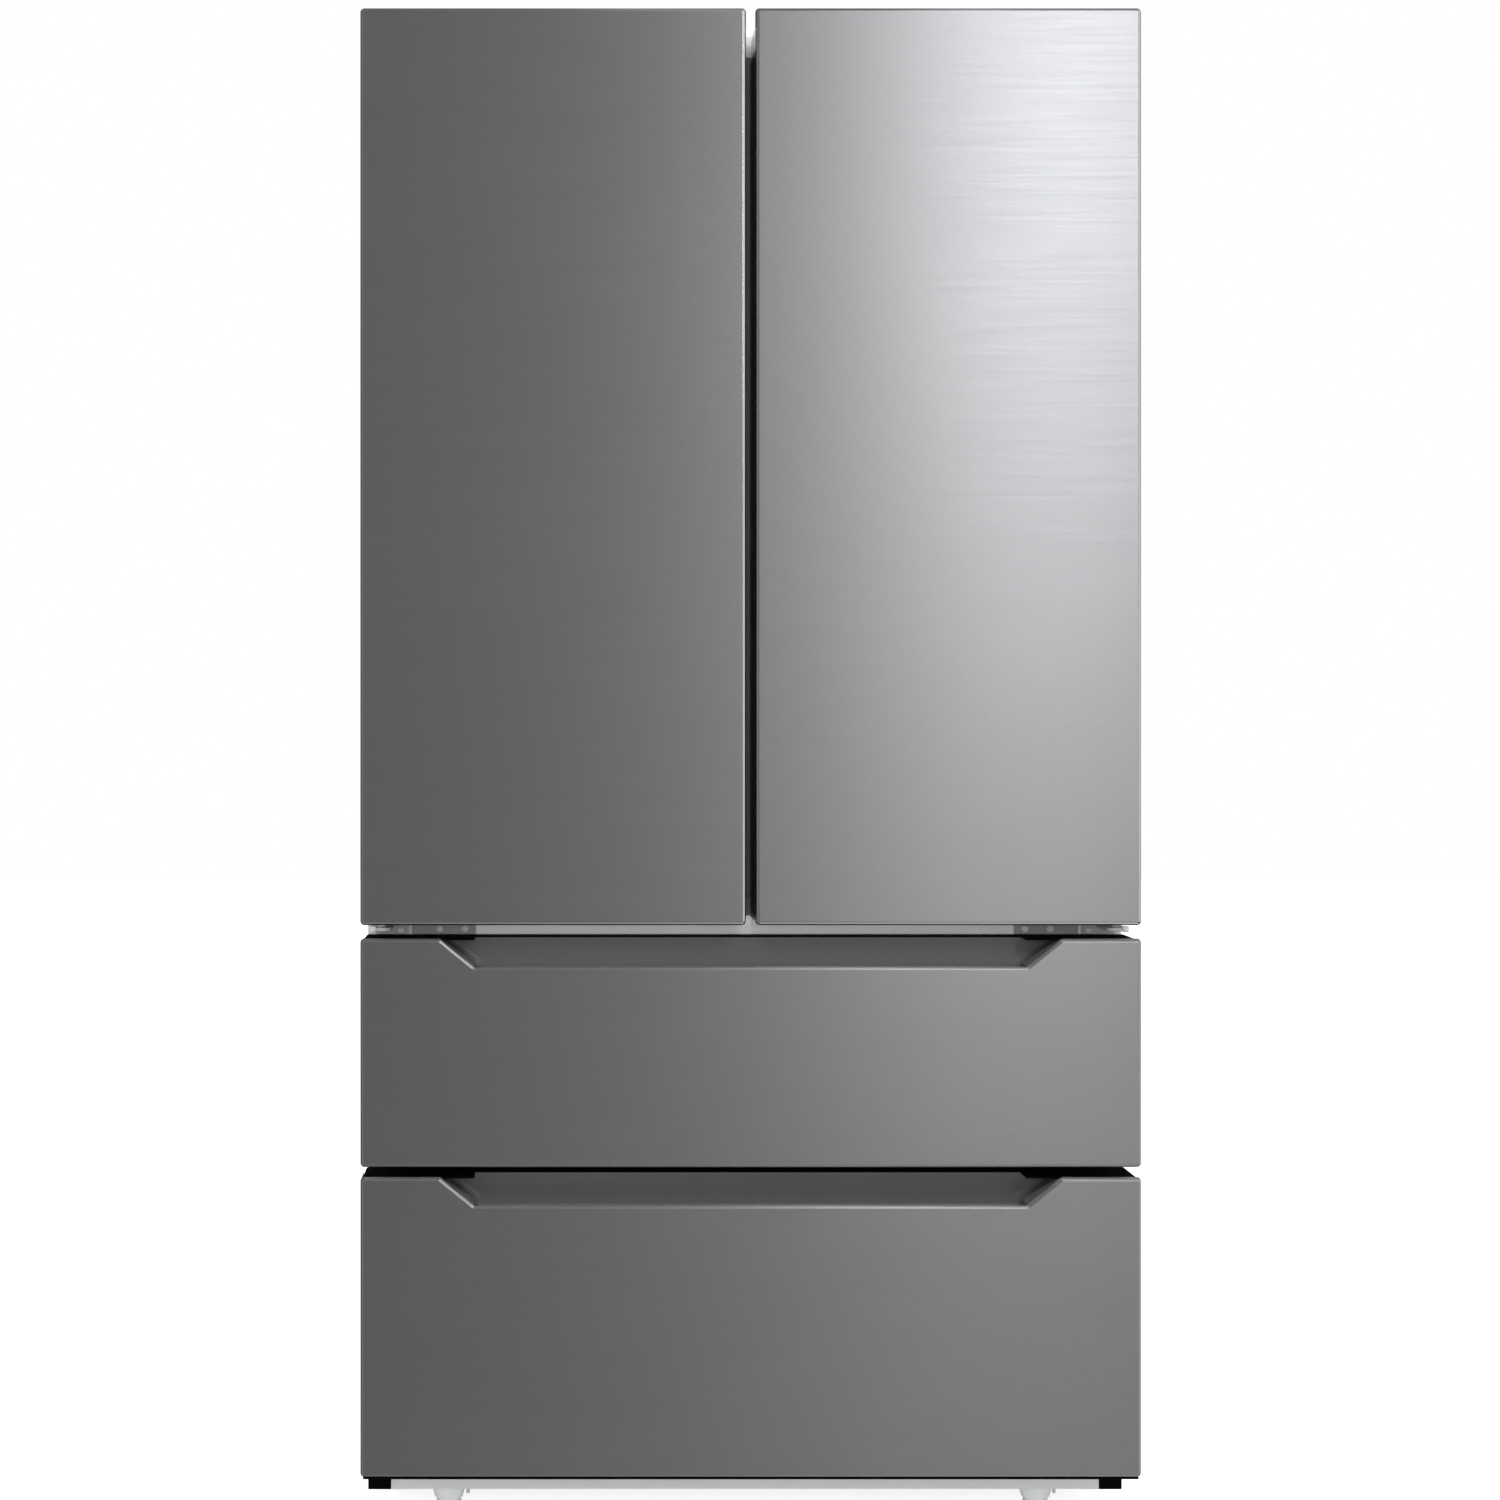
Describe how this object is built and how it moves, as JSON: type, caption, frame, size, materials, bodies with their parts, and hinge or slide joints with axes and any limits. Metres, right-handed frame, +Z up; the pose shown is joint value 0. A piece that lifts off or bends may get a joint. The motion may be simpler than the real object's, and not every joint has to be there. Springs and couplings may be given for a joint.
{
  "type": "french door refrigerator",
  "caption": "Free-standing refrigerator with a pair of hinged upper doors over two full-width freezer drawers with recessed top grips, in brushed stainless steel.",
  "frame": {"origin": "on the floor under the middle of the object's bounding box", "axes": "+Z up, -Y out of the doors' front face, +X to the viewer's right when facing the doors"},
  "size_m": [0.905, 0.745, 1.775],
  "materials": {
    "stainless": "fine horizontal satin brushing",
    "painted": "fine-textured silver grey paint",
    "pale_rail": "satin silver paint",
    "dark_plastic": "fine-textured black",
    "grip_plastic": "satin dark grey",
    "white_plastic": "semi-gloss white",
    "lamp": "milky white diffuser",
    "clear_plastic": "clear moulded polystyrene",
    "glass_shelf": "clear tempered glass",
    "gasket_rubber": "soft matt grey",
    "zinc_steel": "zinc-plated sheet",
    "black_steel": "semi-gloss black paint",
    "fins": "plain rolled",
    "foam": "rigid foam skin",
    "foot_plastic": "fine-textured grey"
  },
  "bodies": {
    "cabinet": {"air_duct_cover": "white_plastic", "base_frame": "zinc_steel", "bottom_rail": "pale_rail", "cabinet_shell": "painted", "ceiling_console": "lamp", "center_hinge_left": "black_steel", "center_hinge_right": "black_steel", "compressor": "black_steel", "condenser": "black_steel", "crisper_cover": "glass_shelf", "cross_rail": "pale_rail", "drawer_divider_rail": "dark_plastic", "evaporator": "fins", "evaporator_cover": "white_plastic", "freezer_liner": "white_plastic", "fridge_liner": "white_plastic", "insulation_foam": "foam", "machine_room_cover": "dark_plastic", "rear_panel": "painted", "shelf_lower": "glass_shelf", "shelf_upper_left": "glass_shelf", "shelf_upper_right": "glass_shelf", "slide_track_left": "zinc_steel", "slide_track_right": "zinc_steel", "top_hinge_left": "dark_plastic", "top_hinge_right": "dark_plastic"},
    "left_door": {"left_door_bin_bottom": "clear_plastic", "left_door_bin_middle": "clear_plastic", "left_door_bin_top": "clear_plastic", "left_door_core": "white_plastic", "left_door_gasket": "gasket_rubber", "left_door_skin": "stainless"},
    "right_door": {"right_door_bin_bottom": "clear_plastic", "right_door_bin_middle": "clear_plastic", "right_door_bin_top": "clear_plastic", "right_door_core": "white_plastic", "right_door_gasket": "gasket_rubber", "right_door_skin": "stainless"},
    "mullion": {"mullion": "dark_plastic"},
    "upper_drawer": {"upper_drawer_skin": "stainless", "upper_drawer_grip": "grip_plastic", "upper_drawer_core": "white_plastic", "upper_drawer_gasket": "gasket_rubber", "upper_drawer_frame": "zinc_steel", "upper_drawer_basket": "clear_plastic"},
    "lower_drawer": {"lower_drawer_skin": "stainless", "lower_drawer_grip": "grip_plastic", "lower_drawer_core": "white_plastic", "lower_drawer_gasket": "gasket_rubber", "lower_drawer_frame": "zinc_steel", "lower_drawer_basket": "clear_plastic"},
    "upper_drawer_sliders": {"upper_drawer_sliders": "zinc_steel"},
    "lower_drawer_sliders": {"lower_drawer_sliders": "zinc_steel"},
    "crisper_left": {"crisper_left": "clear_plastic"},
    "crisper_right": {"crisper_right": "clear_plastic"},
    "condenser_fan": {"condenser_fan": "dark_plastic"},
    "evaporator_fan": {"evaporator_fan": "white_plastic"},
    "rear_rollers": {"rear_rollers": "dark_plastic"},
    "front_foot_left": {"front_foot_left": "foot_plastic"},
    "front_foot_right": {"front_foot_right": "foot_plastic"}
  },
  "joints": [
    {"name": "left_door_hinge", "type": "hinge", "parent": "cabinet", "child": "left_door", "pos_m": [-0.4305, -0.3375, 0.712], "axis": [0, 0, -1], "range_deg": [0, 115]},
    {"name": "right_door_hinge", "type": "hinge", "parent": "cabinet", "child": "right_door", "pos_m": [0.4305, -0.3375, 0.712], "axis": [0, 0, 1], "range_deg": [0, 115]},
    {"name": "mullion_fold", "type": "hinge", "parent": "left_door", "child": "mullion", "pos_m": [-0.022, -0.276, 0.756], "axis": [0, 0, 1], "range_deg": [0, 90]},
    {"name": "upper_drawer_slide", "type": "slide", "parent": "cabinet", "child": "upper_drawer", "axis": [0, -1, 0], "range_m": [0, 0.42]},
    {"name": "upper_sliders_slide", "type": "slide", "parent": "cabinet", "child": "upper_drawer_sliders", "axis": [0, -1, 0], "range_m": [0, 0.21]},
    {"name": "lower_drawer_slide", "type": "slide", "parent": "cabinet", "child": "lower_drawer", "axis": [0, -1, 0], "range_m": [0, 0.42]},
    {"name": "lower_sliders_slide", "type": "slide", "parent": "cabinet", "child": "lower_drawer_sliders", "axis": [0, -1, 0], "range_m": [0, 0.21]},
    {"name": "crisper_left_slide", "type": "slide", "parent": "cabinet", "child": "crisper_left", "axis": [0, -1, 0], "range_m": [0, 0.1]},
    {"name": "crisper_right_slide", "type": "slide", "parent": "cabinet", "child": "crisper_right", "axis": [0, -1, 0], "range_m": [0, 0.1]},
    {"name": "condenser_fan_spin", "type": "hinge", "parent": "cabinet", "child": "condenser_fan", "pos_m": [0.036, 0.262, 0.147], "axis": [1, 0, 0], "continuous": true},
    {"name": "evaporator_fan_spin", "type": "hinge", "parent": "cabinet", "child": "evaporator_fan", "pos_m": [0, 0.285, 0.59], "axis": [0, 1, 0], "continuous": true},
    {"name": "rear_roller_spin", "type": "hinge", "parent": "cabinet", "child": "rear_rollers", "pos_m": [0, 0.32, 0.015], "axis": [1, 0, 0], "continuous": true},
    {"name": "front_foot_left_screw", "type": "slide", "parent": "cabinet", "child": "front_foot_left", "axis": [0, 0, -1], "range_m": [0, 0.015]},
    {"name": "front_foot_right_screw", "type": "slide", "parent": "cabinet", "child": "front_foot_right", "axis": [0, 0, -1], "range_m": [0, 0.015]}
  ],
  "couplings": [
    {"joint": "upper_sliders_slide", "follows": "upper_drawer_slide", "ratio": 0.5},
    {"joint": "lower_sliders_slide", "follows": "lower_drawer_slide", "ratio": 0.5}
  ]
}
